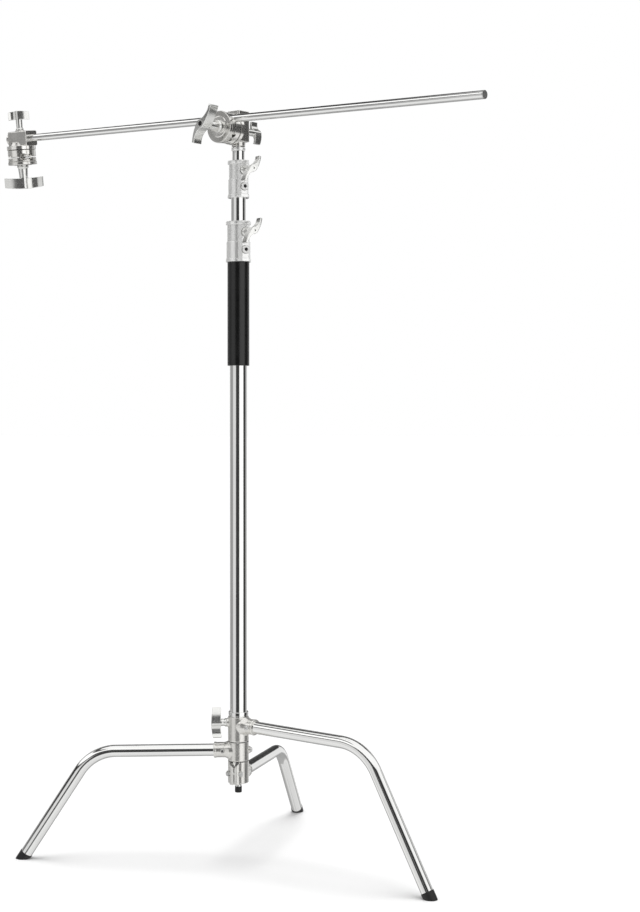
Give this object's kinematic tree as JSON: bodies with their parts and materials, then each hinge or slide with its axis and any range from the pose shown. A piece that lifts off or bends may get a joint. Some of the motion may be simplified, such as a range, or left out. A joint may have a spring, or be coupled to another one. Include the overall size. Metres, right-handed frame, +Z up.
{
  "type": "c stand",
  "caption": "Studio C stand: turtle-style base on bent tube legs, telescopic cushioned column with locking collars, and a tilting boom arm in a grip head.",
  "frame": {"origin": "on the floor under the column's axis", "axes": "+Z up the column, +X to the right of the stand's front, +Y away from its front"},
  "size_m": [1.024, 0.9036, 1.6143],
  "materials": {
    "polished_tube": "highly polished stainless tube",
    "cast_nickel": "satin nickel plated casting",
    "bright_collar": "bright nickel plated casting",
    "handle_metal": "satin tumbled casting",
    "head_casting": "satin casting, rough sides",
    "screw_steel": "plated screw steel",
    "spring_steel": "bright spring wire",
    "black_rubber": "satin black rubber",
    "guide_plastic": "moulded nylon",
    "brake_brass": "turned brass pad"
  },
  "bodies": {
    "base_and_column": {"bottom_casting": "cast_nickel", "pinch_bolt": "screw_steel", "rear_leg": "polished_tube", "rear_foot": "black_rubber", "rear_leg_screw": "screw_steel", "leg_washers": "guide_plastic", "base_plug": "screw_steel", "stud_cap": "black_rubber", "lower_column": "polished_tube", "column_ring": "bright_collar", "grip_sleeve": "black_rubber", "cushion_spring": "spring_steel", "lower_collar": "bright_collar", "lower_collar_screw": "screw_steel", "lower_brake_shoe": "brake_brass"},
    "middle_leg": {"middle_casting": "cast_nickel", "middle_set_screw": "screw_steel", "middle_leg": "polished_tube", "middle_foot": "black_rubber", "middle_leg_screw": "screw_steel"},
    "top_leg": {"top_casting": "cast_nickel", "top_leg": "polished_tube", "top_foot": "black_rubber", "top_leg_screw": "screw_steel"},
    "base_wing": {"base_wing": "handle_metal"},
    "lower_wing": {"lower_wing": "handle_metal"},
    "riser_one": {"riser_one": "polished_tube", "riser_one_glide": "guide_plastic", "upper_collar": "bright_collar", "upper_collar_screw": "screw_steel", "upper_brake_shoe": "brake_brass"},
    "upper_wing": {"upper_wing": "handle_metal"},
    "riser_two": {"riser_two": "polished_tube", "riser_two_glide": "guide_plastic", "top_cap": "bright_collar", "top_spigot": "screw_steel"},
    "main_head": {"main_head_body": "head_casting", "main_centre_bolt": "screw_steel", "main_thrust_washer": "screw_steel"},
    "main_lock_wing": {"main_lock_wing": "handle_metal"},
    "main_jaws": {"main_inner_jaw": "head_casting", "main_outer_jaw": "head_casting", "main_jaw_spring": "spring_steel"},
    "main_clamp_handle": {"main_clamp_handle": "handle_metal"},
    "arm": {"arm_tube": "polished_tube", "arm_end_plugs": "screw_steel"},
    "end_head": {"end_head_body": "head_casting", "end_centre_bolt": "screw_steel", "end_thrust_washer": "screw_steel"},
    "end_lock_wing": {"end_lock_wing": "handle_metal"},
    "end_jaws": {"end_inner_jaw": "head_casting", "end_outer_jaw": "head_casting", "end_jaw_spring": "spring_steel"},
    "end_clamp_handle": {"end_clamp_handle": "handle_metal"}
  },
  "joints": [
    {"name": "middle_leg_swing", "type": "hinge", "parent": "base_and_column", "child": "middle_leg", "pos_m": [0, 0, 0.2128], "axis": [0, 0, 1], "range_deg": [-91, 20]},
    {"name": "top_leg_swing", "type": "hinge", "parent": "base_and_column", "child": "top_leg", "pos_m": [0, 0, 0.2524], "axis": [0, 0, 1], "range_deg": [-12, 99]},
    {"name": "base_wing_turn", "type": "hinge", "parent": "top_leg", "child": "base_wing", "pos_m": [0, 0, 0.291], "axis": [-0.9925, -0.1219, 0], "continuous": true},
    {"name": "riser_one_slide", "type": "slide", "parent": "base_and_column", "child": "riser_one", "axis": [0, 0, 1], "range_m": [0, 0.76]},
    {"name": "lower_wing_turn", "type": "hinge", "parent": "base_and_column", "child": "lower_wing", "pos_m": [0, 0, 1.29676], "axis": [0.5, -0.866, 0], "continuous": true},
    {"name": "riser_two_slide", "type": "slide", "parent": "riser_one", "child": "riser_two", "axis": [0, 0, 1], "range_m": [0, 0.84]},
    {"name": "upper_wing_turn", "type": "hinge", "parent": "riser_one", "child": "upper_wing", "pos_m": [0, 0, 1.42322], "axis": [0.5, -0.866, 0], "continuous": true},
    {"name": "main_head_pan", "type": "hinge", "parent": "riser_two", "child": "main_head", "pos_m": [0, 0, 1.5085], "axis": [0, 0, 1], "continuous": true},
    {"name": "main_lock_wing_turn", "type": "hinge", "parent": "main_head", "child": "main_lock_wing", "pos_m": [0, 0, 1.5085], "axis": [0.6428, 0.766, 0], "continuous": true},
    {"name": "arm_tilt", "type": "hinge", "parent": "main_head", "child": "main_jaws", "pos_m": [0, 0, 1.5085], "axis": [-0.6428, -0.766, 0], "range_deg": [-45, 45]},
    {"name": "main_clamp_turn", "type": "hinge", "parent": "main_head", "child": "main_clamp_handle", "pos_m": [0, 0, 1.5085], "axis": [-0.6428, -0.766, 0], "continuous": true},
    {"name": "arm_slide", "type": "slide", "parent": "main_jaws", "child": "arm", "axis": [0.7655, -0.6423, -0.0384], "range_m": [-0.45, 0.45]},
    {"name": "end_head_roll", "type": "hinge", "parent": "arm", "child": "end_head", "pos_m": [-0.51634, 0.37856, 1.55006], "axis": [0.7655, -0.6423, -0.0384], "continuous": true},
    {"name": "end_lock_wing_turn", "type": "hinge", "parent": "end_head", "child": "end_lock_wing", "pos_m": [-0.51634, 0.37856, 1.55006], "axis": [-0.0603, -0.131, 0.9895], "continuous": true},
    {"name": "end_jaws_turn", "type": "hinge", "parent": "end_head", "child": "end_jaws", "pos_m": [-0.51634, 0.37856, 1.55006], "axis": [0.0603, 0.131, -0.9895], "continuous": true},
    {"name": "end_clamp_turn", "type": "hinge", "parent": "end_head", "child": "end_clamp_handle", "pos_m": [-0.51634, 0.37856, 1.55006], "axis": [0.0603, 0.131, -0.9895], "continuous": true}
  ]
}
